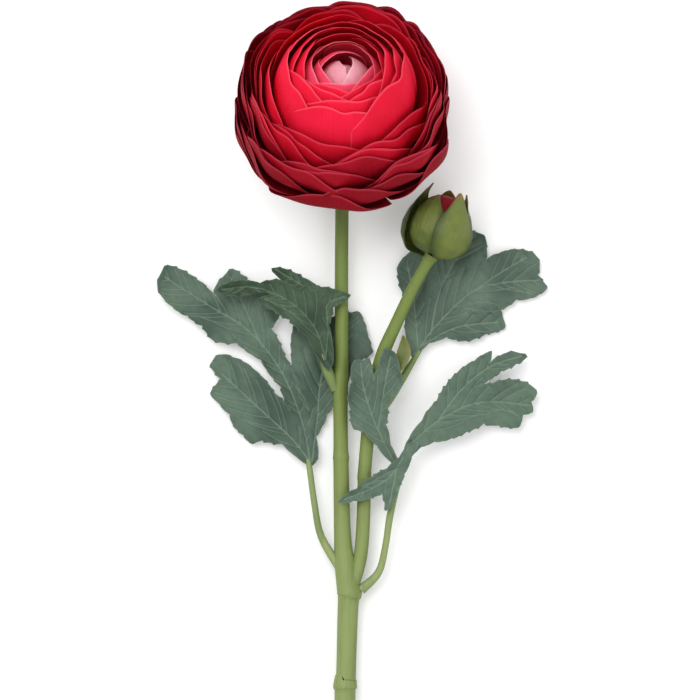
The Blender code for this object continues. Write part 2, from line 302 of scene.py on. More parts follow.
@dataclass(frozen=True)
class Finish:
    """The look of one kind of surface, whose material is made once and shared."""

    name: str

    @cache
    def make(self) -> bpy.types.Material:
        """Builds the material the first time, and gives the same one afterwards.

        Returns:
            The material.
        """
        return self.paint(Graph(self.name))

    def paint(self, graph: Graph) -> bpy.types.Material:
        """Adds the finish's own nodes.

        Args:
            graph: The new material's graph.

        Returns:
            Its material.
        """
        raise NotImplementedError


@dataclass(frozen=True)
class PetalFinish(Finish):
    """Woven petal tissue: deep at the claw as painted shade, brighter on the blade, with a painted rim
    highlight.
    """

    deep: Colour
    face: Colour
    rim: Colour
    roughness: float = 0.68

    def paint(self, graph: Graph) -> bpy.types.Material:
        """Paints by the petal's own UV map, which runs across it and from claw to rim."""
        across, along, _ = graph.split(graph.place("UV"))
        veins = graph.noise(graph.place("UV", (46.0, 2.2, 1.0)), 1.0, 3.0)
        fine_veins = graph.noise(graph.place("UV", (130.0, 5.0, 1.0)), 1.0, 2.0)
        clouds = graph.noise(graph.place("Object"), 70.0, 3.0)
        weave = graph.noise(graph.place("Object"), 1500.0, 1.0)
        # Darker towards the claw, where the petal sits deep among the others: painted shade. The clouds
        # are the tissue's own uneven tone.
        brightness = (along.from_to(0.3, 0.95) * 0.75 + clouds.from_to(0.35, 0.7) * 0.4) - 0.1
        colour = graph.mix(brightness.at_least(0.0).at_most(1.0), self.deep, self.face)
        colour = graph.mix(veins.from_to(0.5, 0.75) * 0.3, colour, self.deep)
        # A pale line along the rim and the side edges: a painted highlight where the edge catches the
        # light.
        edge = along.from_to(0.978, 0.997).at_least(abs(across - 0.5).from_to(0.485, 0.5))
        colour = graph.mix(edge * 0.75, colour, self.rim)
        graph.feed(graph.shader, {"Specular IOR Level": 0.1})
        height = veins * 0.5 + fine_veins * 0.3 + weave * 0.2
        return graph.finish(colour, clouds * 0.2 + (self.roughness - 0.1), height, 0.35)


@dataclass(frozen=True)
class StemFinish(Finish):
    """Smooth stem skin with fine fibres along it, paler towards the foot."""

    name: str = "stem_skin"
    upper: Colour = (0.170, 0.232, 0.050)
    lower: Colour = (0.240, 0.300, 0.100)
    shade: Colour = (0.095, 0.140, 0.028)

    def paint(self, graph: Graph) -> bpy.types.Material:
        """Paints fibres that run along the plant."""
        _, y, _ = graph.split(graph.place("Object"))
        fibres = graph.noise(graph.place("Object", (1.0, 0.05, 1.0)), 900.0, 3.0)
        patches = graph.noise(graph.place("Object", (1.0, 0.25, 1.0)), 110.0, 4.0)
        colour = graph.mix(y.from_to(-0.11, 0.02), self.lower, self.upper)
        colour = graph.mix(patches.from_to(0.48, 0.75) * 0.5, colour, self.shade)
        colour = graph.mix(fibres.from_to(0.5, 0.8) * 0.35, colour, self.shade)
        graph.feed(graph.shader, {"Specular IOR Level": 0.35})
        return graph.finish(colour, patches * 0.2 + 0.42, fibres * 0.7 + patches * 0.3, 0.25)


@dataclass(frozen=True)
class LeafFinish(Finish):
    """Matt grey-green leaf with pale veins, which the blade's vein attribute carries."""

    dark: Colour = (0.050, 0.086, 0.060)
    light: Colour = (0.108, 0.165, 0.118)
    vein: Colour = (0.200, 0.285, 0.200)
    roughness: float = 0.62

    def paint(self, graph: Graph) -> bpy.types.Material:
        """Paints by the blade's own vein and rim attributes."""
        where = graph.place("Object")
        vein = graph.add("ShaderNodeAttribute", {"attribute_name": "vein"}, {}, "Fac")
        rim = graph.add("ShaderNodeAttribute", {"attribute_name": "rim"}, {}, "Fac")
        clouds = graph.noise(where, 45.0, 4.0)
        cells = graph.noise(where, 520.0, 3.0)
        grain = graph.noise(where, 1800.0, 1.0)
        colour = graph.mix(clouds.from_to(0.32, 0.68), self.dark, self.light)
        colour = graph.mix(cells.from_to(0.5, 0.75) * 0.35, colour, self.dark)
        colour = graph.mix(vein.from_to(0.4, 1.0) * 0.6, colour, self.vein)
        colour = graph.mix(rim.from_to(0.7, 1.0) * 0.3, colour, self.vein)
        graph.feed(graph.shader, {"Specular IOR Level": 0.3, "Sheen Weight": 0.08})
        height = cells * 0.6 + grain * 0.2 + (1.0 - vein) * 0.5
        return graph.finish(colour, clouds * 0.2 + (self.roughness - 0.1), height, 0.3)


@dataclass(frozen=True)
class BudFinish(Finish):
    """Olive sepal: lighter on its middle, darker at its sides, with a flushed rim."""

    name: str = "bud_sepal_skin"
    dark: Colour = (0.040, 0.065, 0.008)
    light: Colour = (0.150, 0.190, 0.030)
    flush: Colour = (0.330, 0.090, 0.060)

    def paint(self, graph: Graph) -> bpy.types.Material:
        """Paints by the sepal's own UV map, which runs across it and from foot to tip."""
        across, along, _ = graph.split(graph.place("UV"))
        centred = (across - 0.5) * (across - 0.5) * 4.0
        fibres = graph.noise(graph.place("UV", (60.0, 3.0, 1.0)), 1.0, 3.0)
        clouds = graph.noise(graph.place("Object"), 130.0, 3.0)
        colour = graph.mix(centred.from_to(0.1, 0.95), self.light, self.dark)
        colour = graph.mix(clouds.from_to(0.45, 0.75) * 0.55, colour, self.dark)
        colour = graph.mix(fibres.from_to(0.5, 0.75) * 0.4, colour, self.dark)
        colour = graph.mix(along.from_to(0.93, 1.0) * 0.65, colour, self.flush)
        graph.feed(graph.shader, {"Specular IOR Level": 0.4})
        return graph.finish(colour, clouds * 0.2 + 0.34, fibres * 0.6 + clouds * 0.4, 0.4)


# The last layer that wears each finish, from the heart outwards. Each finish's third colour is its painted
# rim highlight.
LAYER_FINISHES = (
    (0.08, PetalFinish("petal_heart", (0.70, 0.18, 0.25), (0.86, 0.40, 0.47), (0.90, 0.56, 0.58))),
    (0.19, PetalFinish("petal_rose", (0.76, 0.015, 0.055), (0.88, 0.075, 0.15), (0.90, 0.26, 0.32))),
    (0.45, PetalFinish("petal_bright", (0.62, 0.002, 0.012), (0.86, 0.012, 0.048), (0.88, 0.09, 0.15))),
    (0.64, PetalFinish("petal_red", (0.42, 0.001, 0.007), (0.66, 0.006, 0.026), (0.74, 0.06, 0.11))),
    # The two outer finishes are darker partly by the petals' own deeper crimson and partly as painted
    # shade.
    (0.84, PetalFinish("petal_crimson", (0.24, 0.001, 0.005), (0.43, 0.004, 0.018), (0.58, 0.045, 0.085))),
    (1.00, PetalFinish("petal_dark", (0.16, 0.001, 0.004), (0.31, 0.003, 0.013), (0.46, 0.035, 0.065))),
)


# ------------------------------------------------------------------ making meshes


def deselect_all() -> None:
    """Leaves nothing selected."""
    for chosen in list(bpy.context.selected_objects):
        chosen.select_set(False)


def apply_modifier(piece: bpy.types.Object, kind: str, **settings: object) -> None:
    """Adds a modifier and applies it.

    Args:
        piece: The piece to change.
        kind: The modifier's type.
        settings: Its settings.
    """
    modifier = piece.modifiers.new(kind.lower(), kind)
    for key, setting in settings.items():
        setattr(modifier, key, setting)
    bpy.context.view_layer.objects.active = piece
    bpy.ops.object.modifier_apply(modifier=modifier.name)


def thicken(piece: bpy.types.Object, thickness: float, subdivisions: int = 1) -> None:
    """Turns a sheet into a closed, rounded shell.

    Args:
        piece: The sheet.
        thickness: Its thickness in millimetres.
        subdivisions: Levels of smoothing.
    """
    apply_modifier(piece, "SOLIDIFY", thickness=thickness * MM, offset=0.0)
    if subdivisions:
        apply_modifier(piece, "SUBSURF", levels=subdivisions, render_levels=subdivisions)


def shaped_sheet(
    name: str, columns: int, rows: int, place: Callable[[float, float], Vector]
) -> bpy.types.Object:
    """Adds a flat grid and sculpts each of its points into place.

    Args:
        name: The piece's name.
        columns: Faces across.
        rows: Faces along.
        place: Gives a point's place in millimetres, from across (-1 to 1) and along (0 to 1).

    Returns:
        The sheet, with the grid's own UV map.
    """
    deselect_all()
    bpy.ops.mesh.primitive_grid_add(x_subdivisions=columns, y_subdivisions=rows, size=2.0)
    piece = bpy.context.object
    piece.name = name
    piece.data.name = name
    for vertex in piece.data.vertices:
        vertex.co = place(vertex.co.x, (vertex.co.y + 1) / 2) * MM
    return piece


def close_up(piece: bpy.types.Object) -> None:
    """Joins the two long sides of a rolled grid and closes its ends.

    Args:
        piece: The rolled grid, which becomes one closed surface.
    """
    bpy.context.view_layer.objects.active = piece
    bpy.ops.object.mode_set(mode="EDIT")
    bpy.ops.mesh.select_all(action="SELECT")
    bpy.ops.mesh.remove_doubles(threshold=1e-6)
    bpy.ops.mesh.fill_holes(sides=0)
    bpy.ops.mesh.select_all(action="SELECT")
    bpy.ops.mesh.normals_make_consistent(inside=False)
    bpy.ops.object.mode_set(mode="OBJECT")


def tube(name: str, centres: Sequence[tuple[Vector, float]], sides: int) -> bpy.types.Object:
    """Rolls a grid into a closed tube along a stem's middle line.

    Args:
        name: The piece's name.
        centres: (position, radius) pairs in millimetres.
        sides: Faces round the tube.

    Returns:
        The tube, closed at both ends.
    """
    frames = []
    side = Vector((0, 0, 1))
    for i, (centre, radius) in enumerate(centres):
        before = centres[max(i - 1, 0)][0]
        after = centres[min(i + 1, len(centres) - 1)][0]
        tangent = (after - before).normalized()
        side = (side - tangent * side.dot(tangent)).normalized()
        frames.append((centre, radius, side.copy(), tangent.cross(side)))
    last = len(frames) - 1

    def place(across: float, along: float) -> Vector:
        """A point of the tube's wall."""
        centre, radius, out, beside = frames[round(along * last)]
        turn = math.pi * (across + 1)
        return centre + (out * math.cos(turn) + beside * math.sin(turn)) * radius

    piece = shaped_sheet(name, sides, last, place)
    close_up(piece)
    return piece


def dress(
    piece: bpy.types.Object, finish: bpy.types.Material, nodes: Iterable[str] = ()
) -> bpy.types.Object:
    """Gives a finished piece its material, its body and the solids that it stands for.

    Args:
        piece: The piece.
        finish: Its material.
        nodes: The solids that it replaces.

    Returns:
        The piece.
    """
    piece.data.materials.clear()
    piece.data.materials.append(finish)
    bpy.ops.object.select_all(action="DESELECT")
    piece.select_set(True)
    bpy.context.view_layer.objects.active = piece
    bpy.ops.object.shade_smooth_by_angle(angle=math.radians(60))
    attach(piece, BODY)
    for node in nodes:
        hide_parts(node)
    return piece


# ------------------------------------------------------------------ stems


@dataclass
class Stems:
    """The main stem with the receptacle at its top, the side stem, and the small side bud between them."""

    main_route: Route = (
        (-2.8, -146.0, 4.7, 4.1),
        (-2.8, -130.0, 4.8, 4.2),
        (-2.8, -127.6, 4.9, 4.3),
        (-2.8, -126.6, 4.9, 4.8),
        (-2.6, -123.5, 4.9, 4.5),
        (-2.4, -121.0, 5.0, 4.0),
        (-1.8, -100.0, 5.2, 4.1),
        (-1.4, -91.5, 5.5, 4.3),
        (-1.0, -89.0, 5.7, 5.0),
        (-1.6, -86.0, 5.8, 4.6),
        (-2.6, -78.0, 5.8, 4.3),
        (-3.7, -68.0, 5.9, 3.5),
        (-4.2, -50.0, 6.1, 3.2),
        (-4.4, -36.5, 6.3, 3.1),
        (-4.4, -34.6, 6.3, 3.3),
        (-4.5, -30.0, 6.3, 2.95),
        (-4.6, -14.0, 6.5, 2.9),
        (-4.5, -3.0, 6.6, 3.1),
        (-4.2, 6.0, 6.8, 2.75),
        (-4.2, 40.0, 7.2, 2.7),
        (-4.0, 66.0, 7.4, 2.7),
        (-3.8, 76.0, 7.6, 2.85),
        (-3.6, 84.0, 9.4, 3.3),
        (-3.4, 91.0, 13.4, 4.8),
        (-3.4, 94.0, 18.0, 4.2),
        (-3.4, 96.8, 22.2, 1.2),
    )
    side_route: Route = (
        (0.2, -86.0, 6.2, 2.6),
        (3.4, -74.0, 6.6, 2.75),
        (4.6, -58.0, 7.0, 2.75),
        (4.9, -44.6, 7.4, 2.7),
        (5.0, -42.6, 7.4, 3.0),
        (5.1, -39.0, 7.5, 2.7),
        (7.6, -14.0, 8.2, 2.8),
        (11.6, 5.0, 8.8, 2.75),
        (18.0, 20.0, 10.6, 2.5),
        (24.6, 34.0, 13.0, 2.35),
        (30.0, 43.6, 14.7, 2.4),
        (32.0, 46.8, 15.4, 3.2),
    )
    side_bud_route: Route = (
        (12.4, -3.5, 9.4, 1.3),
        (16.8, -0.5, 10.0, 1.5),
        (19.4, 3.5, 10.6, 2.5),
        (20.8, 8.0, 11.0, 2.8),
        (20.8, 11.8, 11.0, 1.7),
        (20.4, 14.8, 11.0, 0.3),
    )
    sides: int = 28
    steps: int = 5
    finish: StemFinish = field(default_factory=StemFinish)

    def build(self) -> list[bpy.types.Object]:
        """Builds and dresses the three stems.

        Returns:
            The stems.
        """
        skin = self.finish.make()
        main = tube("main_stem_skin", smooth_route(self.main_route, self.steps), self.sides)
        side = tube("side_stem_skin", smooth_route(self.side_route, self.steps), self.sides)
        return [
            dress(main, skin, ["main_stem"]),
            dress(side, skin, ["bud_stem"]),
            self.side_bud(),
        ]

    def side_bud(self) -> bpy.types.Object:
        """Builds the small pointed side bud with its flushed tip.

        Returns:
            The side bud.
        """
        piece = tube("side_bud_skin", smooth_route(self.side_bud_route, self.steps), 20)
        skin = BudFinish("side_bud_skin", (0.11, 0.14, 0.03), (0.33, 0.34, 0.10), (0.62, 0.20, 0.10))
        return dress(piece, skin.make(), ["side_bud"])


# ------------------------------------------------------------------ flower head


@dataclass
class FlowerHead:
    """The bloom: petals round a tilted axis at the golden angle, from a closed heart to a flared skirt."""

    foot: Vector = field(default_factory=lambda: Vector((-3.4, 90.0, 12.7)))
    tilt: float = 55.0
    count: int = 40
    golden_angle: float = 137.508
    first_azimuth: float = -62.0
    thickness: float = 0.34
    receptacle_radius: float = 5.2
    receptacle_height: float = 12.5
    foot_height: Keys = ((0.0, 11.0), (1.0, 0.7))
    belly_radius: Keys = (
        (0.0, 8.0), (0.1, 13.5), (0.25, 21.5), (0.42, 29.0), (0.46, 31.5), (0.75, 38.8), (1.0, 43.0),
    )
    belly_height: Keys = ((0.0, 38.0), (0.42, 37.0), (0.46, 33.0), (0.75, 28.0), (1.0, 18.0))
    tip_height: Keys = (
        (0.0, 49.0), (0.1, 53.5), (0.25, 56.5), (0.42, 55.5), (0.46, 44.5), (0.75, 37.0), (1.0, 25.5),
    )
    tip_angle: Keys = (
        (0.0, 179.0), (0.06, 177.0), (0.09, 158.0), (0.13, 142.0),
        (0.42, 130.0), (0.46, 108.0), (1.0, 96.0),
    )
    heart_overlap: Keys = ((0.0, 3.6), (0.03, 2.8), (0.06, 1.8), (0.09, 0.0))
    half_width: Keys = ((0.0, 95.0), (0.12, 80.0), (0.25, 70.0), (0.42, 62.0), (0.5, 50.0), (1.0, 38.0))
    ruffle: Keys = ((0.0, 0.0), (0.15, 0.3), (0.42, 0.7), (0.55, 1.5), (0.75, 2.0), (1.0, 2.3))
    flare: Keys = ((0.0, 0.0), (0.42, 0.0), (0.5, 1.0), (0.75, 1.7), (1.0, 1.2))
    back_lift: Keys = ((0.0, 0.0), (0.42, 0.0), (0.5, 6.0), (0.8, 9.0), (1.0, 11.5))
    # name, first layer, layers on, azimuth on, share of the width
    thin_petals: Sequence[tuple[str, float, float, float, float]] = (
        ("between", 0.1, 0.5, 68.0, 0.8),
        ("skirt", 0.5, 0.75, 205.0, 0.8),
    )
    heart_layers: float = 0.12
    claw: float = 24.0
    columns: int = 18
    rows: int = 16
    seed: int = 11

    def spot(self, azimuth: float, radius: float, height: float) -> Vector:
        """A point of the head, given round its tilted axis."""
        tilt, turn = math.radians(self.tilt), math.radians(azimuth)
        up = Vector((0, math.cos(tilt), math.sin(tilt)))
        right = Vector((1, 0, 0))
        back = up.cross(right)
        return self.foot + right * radius * math.cos(turn) + back * radius * math.sin(turn) + up * height

    def meridian(self, layer: float, along: float) -> tuple[float, float]:
        """A petal's middle line.

        Args:
            layer: 0 for the innermost petal, 1 for the outermost.
            along: The share of the petal's length.

        Returns:
            The radius and height there.
        """
        low = blend(self.foot_height, layer)
        share = min(max(low / self.receptacle_height, 0.0), 0.995)
        foot = self.receptacle_radius * math.sqrt(1 - share**2) + 0.5
        belly, middle = blend(self.belly_radius, layer), blend(self.belly_height, layer)
        start = math.asin(min(foot / belly, 1.0))
        end = math.radians(blend(self.tip_angle, layer))
        angle = start + along * (end - start)
        if angle < math.pi / 2:
            reach = (middle - low) / math.cos(start)
        else:
            reach = (blend(self.tip_height, layer) - middle) / max(-math.cos(end), 0.05)
        return belly * math.sin(angle), middle - reach * math.cos(angle)

    def wave(self, azimuth: float, layer: float) -> float:
        """The ruffle that runs round the head, which neighbouring petals share so that they nest."""
        turn = math.radians(azimuth)
        return (
            0.55 * math.sin(4 * turn + 5.0 * layer)
            + 0.4 * math.sin(7 * turn - 9.0 * layer + 1.0)
            + 0.3 * math.sin(13 * turn + 14.0 * layer)
        )

    def petal(
        self, name: str, layer: float, azimuth: float, width: float, dice: random.Random
    ) -> bpy.types.Object:
        """Sculpts one petal.

        Args:
            name: Its name.
            layer: 0 for the innermost, 1 for the outermost.
            azimuth: Its direction round the axis.
            width: A share of its layer's usual width.
            dice: Where its own small differences come from.

        Returns:
            The petal, with its thickness.
        """
        half = blend(self.half_width, layer) * width
        ruffle, flare = blend(self.ruffle, layer), blend(self.flare, layer)
        lift = blend(self.back_lift, layer)
        notch = dice.uniform(0.0, 0.035) * ease(0.1, 0.4, layer)
        lean = dice.uniform(-0.06, 0.06)
        phase = dice.uniform(0.0, 6.28)
        length = dice.uniform(0.975, 1.01)

        def place(across: float, along: float) -> Vector:
            """A point of the petal's sheet."""
            spread = ease(0.0, 0.6, along)
            turn = azimuth + across * (self.claw + (half - self.claw) * spread)
            corner = (0.16 + 0.2 * layer) * abs(across) ** 2.4 + lean * across
            heart_notch = notch * math.exp(-((across - lean) ** 2) / 0.02)
            scallop = 0.008 * math.sin(5.5 * across + phase) * ease(0.1, 0.5, layer)
            share = along * length * (1 - (corner + heart_notch + scallop) * along)
            radius, height = self.meridian(layer, share)
            edge = ease(0.55, 1.0, along)
            side = ease(0.6, 1.0, abs(across)) * spread
            radius += ruffle * edge * self.wave(turn, layer) + flare * edge * edge
            radius -= 0.5 * side * ease(0.2, 0.5, layer)
            height += 0.5 * ruffle * edge * math.sin(3 * math.radians(turn) + phase)
            height += lift * share * share * (1 + math.sin(math.radians(turn))) / 2
            over = blend(self.heart_overlap, layer) * ease(0.5, 1.0, share)
            return self.spot(turn, radius, height) + self.foot - self.spot(azimuth, over, 0.0)

        piece = shaped_sheet(name, self.columns, self.rows, place)
        thicken(piece, self.thickness)
        return piece

    @staticmethod
    def material_for(layer: float) -> bpy.types.Material:
        """The material of a layer: the first whose last layer is not under it."""
        return next(finish for last, finish in LAYER_FINISHES if layer <= last).make()

    def build(self) -> list[bpy.types.Object]:
        """Builds and dresses every petal.

        Returns:
            The petals.
        """
        dice = random.Random(self.seed)
        made = []
        for k in range(self.count):
            layer = k / (self.count - 1)
            azimuth = self.first_azimuth + k * self.golden_angle
            node = f"petal_{k + 1:02d}"
            piece = self.petal(f"{node}_ruffled", layer, azimuth, 1.0, dice)
            made.append(dress(piece, self.material_for(layer), [node]))
            for kind, first, on, swing, width in self.thin_petals:
                if first < layer < 1.0:
                    between = layer + on / (self.count - 1)
                    thin = self.petal(f"{node}_{kind}", between, azimuth + swing, width, dice)
                    made.append(dress(thin, self.material_for(between)))
        return made


@dataclass
class Calyx:
    """The five green sepals pressed against the bloom's underside."""

    head: FlowerHead
    count: int = 5
    first_azimuth: float = -84.0
    half_width: float = 18.0
    length: float = 0.42

    def build(self) -> list[bpy.types.Object]:
        """Builds and dresses the sepals.

        Returns:
            The sepals.
        """
        skin = BudFinish("calyx_skin").make()
        made = []
        for k in range(self.count):
            azimuth = self.first_azimuth + k * 360 / self.count

            def place(across: float, along: float, azimuth: float = azimuth) -> Vector:
                """A point of the sepal's sheet."""
                pointed = math.sqrt(max(1 - ease(0.35, 1.0, along) ** 1.6 * 0.9, 0.0))
                turn = azimuth + across * self.half_width * (0.75 + 0.5 * along) * pointed
                radius, height = self.head.meridian(1.0, along * self.length)
                return self.head.spot(turn, radius + 0.9 + 0.25 * across**2, height - 0.9)

            piece = shaped_sheet(f"sepal_{k + 1}_shaped", 8, 12, place)
            thicken(piece, 0.5)
            made.append(dress(piece, skin, [f"sepal_{k + 1}"]))
        return made


# ------------------------------------------------------------------ bud


@dataclass
class Bud:
    """The side bud: five olive sepals closed round dark red petals."""

    foot: Vector = field(default_factory=lambda: Vector((32.6, 47.6, 15.6)))
    axis: Vector = field(default_factory=lambda: Vector((0.24, 0.95, 0.2)).normalized())
    # azimuth, radial step, tip height, tip radius
    sepals: Sequence[tuple[float, float, float, float]] = (
        (-128.0, 0.0, 24.5, 5.5),
        (-56.0, 1.3, 27.5, 6.5),
        (16.0, 0.0, 26.0, 7.5),
        (88.0, 1.3, 25.0, 6.0),
        (160.0, 2.6, 27.5, 4.5),
    )
    wall_radii: Keys = (
        (0.0, 2.6), (0.08, 6.4), (0.16, 8.9), (0.34, 12.0), (0.5, 12.4), (0.68, 11.2), (0.84, 8.8),
    )
    wall_heights: Keys = (
        (0.0, 0.4), (0.08, 0.7), (0.16, 1.9), (0.34, 6.4), (0.5, 11.0), (0.68, 16.2), (0.84, 20.6),
    )
    width_shares: Keys = ((0.0, 0.62), (0.3, 1.0), (0.65, 1.0), (0.88, 0.86), (1.0, 0.5))
    half_width: float = 44.0
    petals_radius: float = 10.0
    petals_height: float = 22.0

    def spot(self, azimuth: float, radius: float, height: float) -> Vector:
        """A point of the bud, given round its own axis."""
        turn = math.radians(azimuth)
        right = self.axis.cross(Vector((0, 0, 1))).normalized()
        front = right.cross(self.axis)
        out = right * math.cos(turn) - front * math.sin(turn)
        return self.foot + out * radius + self.axis * height

    def sepal(self, number: int) -> bpy.types.Object:
        """Sculpts one sepal.

        Args:
            number: Its place in the row of sepals.

        Returns:
            The sepal, with its thickness.
        """
        azimuth, step, tip_height, tip_radius = self.sepals[number]
        radii = (*self.wall_radii, (1.0, tip_radius))
        heights = (*self.wall_heights, (1.0, tip_height))

        def place(across: float, along: float) -> Vector:
            """A point of the sepal's sheet."""
            width = self.half_width * blend(self.width_shares, along)
            share = along * (1 - 0.14 * across**2 * along)
            crease = 0.35 * math.exp(-(across**2) / 0.02) * ease(0.1, 0.4, along)
            dimple = 0.3 * math.sin(4 * across + number) * math.sin(7 * along + 2 * number)
            radius = blend(radii, share) + step * ease(0.0, 0.15, share)
            radius += crease + dimple * ease(0.05, 0.3, along)
            height = blend(heights, share) - step * (1 - share)
            return self.spot(azimuth + across * width, radius, height)

        piece = shaped_sheet(f"bud_sepal_{number + 1}_shaped", 16, 20, place)
        thicken(piece, 0.5)
        return piece

    def core(self) -> bpy.types.Object:
        """Sculpts the closed petals inside.

        Returns:
            The core, with a spiral fold where its petals overlap.
        """
        rings, sides = 20, 36

        def place(across: float, along: float) -> Vector:
            """A point of the core's wall."""
            angle = math.pi * (0.03 + 0.94 * along)
            turn = 180.0 * (across + 1)
            fold = 1 + 0.05 * math.sin(math.radians(3 * turn) + 6 * along)
            radius = self.petals_radius * math.sin(angle) ** 0.8 * fold
            return self.spot(turn, radius, 1.6 + self.petals_height * (1 - math.cos(angle)) / 2)

        piece = shaped_sheet("bud_petals_folded", sides, rings, place)
        close_up(piece)
        return piece

    def build(self) -> list[bpy.types.Object]:
        """Builds and dresses the bud.

        Returns:
            The sepals and the core.
        """
        skin = BudFinish().make()
        # The third colour is a painted highlight, here at the core's top and along its seam.
        petals = PetalFinish("bud_petal", (0.10, 0.003, 0.006), (0.30, 0.010, 0.020), (0.4, 0.05, 0.06))
        made = [dress(self.core(), petals.make(), ["bud_petals"])]
        for number in range(len(self.sepals)):
            made.append(dress(self.sepal(number), skin, [f"bud_sepal_{number + 1}"]))
        return made


# ------------------------------------------------------------------ leaves


@dataclass(frozen=True)
class Blade:
    """A leaf blade: its outline, the heights it goes by, and its main ribs, all in millimetres."""

    outline: Sequence[Point2]
    heights: Sequence[tuple[float, float, float]]
    ribs: Sequence[Sequence[Point2]]
    smooth_near: Point2
    fold: float = 1.4


class BladeMaker:
    """Fills a blade's toothed outline with a fine mesh that follows its veins."""

    tooth_pitch = 4.2
    tooth_height = 0.7
    bulge = 0.05
    spacing = 1.15
    vein_pitch = 5.5
    vein_angle = 38.0
    vein_bend = 1.6
    vein_step = 1.5
    vein_steps = 12
    vein_clearance = 1.6
    edge_clearance = 1.2
    clear_of_foot = 13.0
    lowest = 0.55
    # How far from its line each mark fades out.
    rib_reach = 0.9
    vein_reach = 0.7
    rim_reach = 1.6

    def __init__(self, blade: Blade) -> None:
        """Keeps the blade and works out its edge and veins."""
        self.blade = blade
        self.edge = self._toothed_edge()
        self.ribs = [self._curve(rib) for rib in blade.ribs]
        self.veins: list[list[Point2]] = []
        for rib in self.ribs:
            others = [line for line in self.ribs if line is not rib] + self.veins
            self.veins += self._side_veins(rib, others)

    def _curve(self, points: Sequence[Point2]) -> list[Point2]:
        """A smooth line through a rib's points."""
        route = [(x, y, 0.0, 0.0) for x, y in points]
        return [(p.x, p.y) for p, _ in smooth_route(route, 6)]

    def _toothed_edge(self) -> list[Point2]:
        """The outline with rounded stretches and small teeth.

        Returns:
            The points of the closed edge.
        """
        outline = self.blade.outline
        ahead = outline[1:] + outline[:1]
        area = sum(x0 * y1 - x1 * y0 for (x0, y0), (x1, y1) in zip(outline, ahead))
        outward = 1.0 if area > 0 else -1.0
        found: list[Point2] = []
        for (x0, y0), (x1, y1) in zip(outline, ahead):
            length = math.hypot(x1 - x0, y1 - y0)
            nx, ny = outward * (y1 - y0) / length, -outward * (x1 - x0) / length
            near = math.dist(((x0 + x1) / 2, (y0 + y1) / 2), self.blade.smooth_near)
            height = self.tooth_height if near > self.clear_of_foot else 0.0
            teeth = max(1, round(length / self.tooth_pitch))
            for k in range(teeth):
                for part, lift in ((0.0, 0.0), (0.45, 0.35), (0.8, 1.0)):
                    s = (k + part) / teeth
                    uneven = 0.65 + 0.35 * math.sin(2.3 * len(found))
                    out = height * lift * uneven * min(1.0, length / 6)
                    out += self.bulge * length * 4 * s * (1 - s)
                    found.append((x0 + (x1 - x0) * s + nx * out, y0 + (y1 - y0) * s + ny * out))
        return found

    def _inside(self, x: float, y: float) -> bool:
        """Whether a point lies inside the edge."""
        hit = False
        ahead = self.edge[1:] + self.edge[:1]
        for (x0, y0), (x1, y1) in zip(self.edge, ahead):
            if (y0 > y) != (y1 > y) and x < (x1 - x0) * (y - y0) / (y1 - y0) + x0:
                hit = not hit
        return hit

    def _side_veins(self, rib: Sequence[Point2], others: Sequence[Sequence[Point2]]) -> list[list[Point2]]:
        """Side veins that leave a rib on both sides and bend towards its tip.

        Args:
            rib: The rib's points.
            others: Lines that the veins keep clear of.

        Returns:
            The veins, each a list of points that stay inside the edge.
        """
        found = []
        travelled, wanted = 0.0, self.vein_pitch * 1.2
        for (x0, y0), (x1, y1) in zip(rib, rib[1:]):
            travelled += math.hypot(x1 - x0, y1 - y0)
            if travelled < wanted:
                continue
            wanted += self.vein_pitch
            heading = math.atan2(y1 - y0, x1 - x0)
            for way in (-1, 1):
                vein = [(x1, y1)]
                for step in range(1, self.vein_steps):
                    turn = heading + way * math.radians(self.vein_angle - self.vein_bend * step)
                    cos, sin = math.cos(turn), math.sin(turn)
                    x, y = vein[-1][0] + self.vein_step * cos, vein[-1][1] + self.vein_step * sin
                    ahead = (x + self.edge_clearance * cos, y + self.edge_clearance * sin)
                    if not (self._inside(x, y) and self._inside(*ahead)):
                        break
                    if others and self._distance(np.array([ahead]), others)[0] < self.vein_clearance:
                        break
                    vein.append((x, y))
                if len(vein) > 2:
                    found.append(vein)
        return found

    @staticmethod
    def _distance(points: np.ndarray, lines: Sequence[Sequence[Point2]]) -> np.ndarray:
        """How far each point is from the nearest of the lines."""
        best = np.full(len(points), 1e9)
        for line in lines:
            corners = np.array(line)
            for a, b in zip(corners, corners[1:]):
                run = b - a
                share = np.clip((points - a) @ run / max(run @ run, 1e-9), 0, 1)
                gap = np.linalg.norm(points - a - share[:, None] * run, axis=1)
                best = np.minimum(best, gap)
        return best

    def _heights(self, points: np.ndarray) -> np.ndarray:
        """The blade's height at each point: every given height counts by how near it is."""
        given = np.array(self.blade.heights)
        gap = ((points[:, None, :] - given[None, :, :2]) ** 2).sum(axis=2)
        weight = 1 / (gap + 4.0) ** 1.5
        return (weight * given[None, :, 2]).sum(axis=1) / weight.sum(axis=1)

